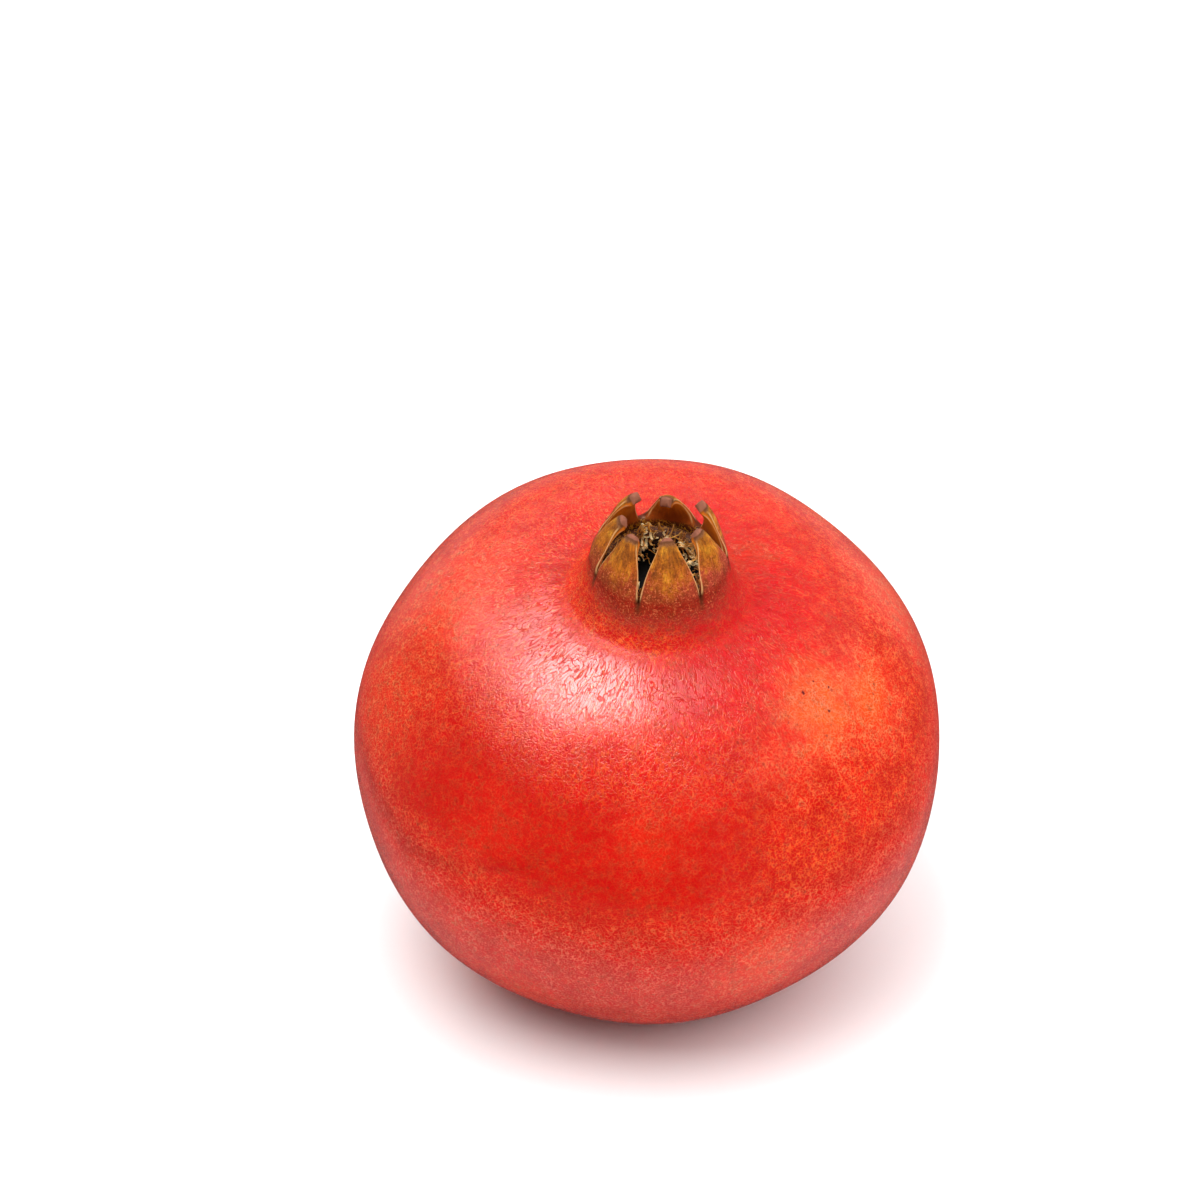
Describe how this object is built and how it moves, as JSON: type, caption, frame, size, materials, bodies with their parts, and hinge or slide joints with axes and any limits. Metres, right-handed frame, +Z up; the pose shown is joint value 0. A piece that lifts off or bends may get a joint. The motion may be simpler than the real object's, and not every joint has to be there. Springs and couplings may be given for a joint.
{
  "type": "pomegranate",
  "caption": "Whole ripe pomegranate: a round leathery red fruit lying tipped on a small flat spot, with an open lobed calyx crown and dried stamens in its throat.",
  "frame": {"origin": "on the small flat spot that the fruit rests on", "axes": "+Z is up; -Y is the front, the side that the fruit's axis and crown tip towards; +X is to the right seen from the front"},
  "size_m": [0.0956, 0.0943, 0.0954],
  "materials": {
    "rind": "waxy red rind with fine pale flecks, browning on the calyx lobes",
    "stamen": "dry, matt golden brown"
  },
  "bodies": {
    "root": {"fruit": "rind", "stamens": "stamen"}
  },
  "joints": []
}
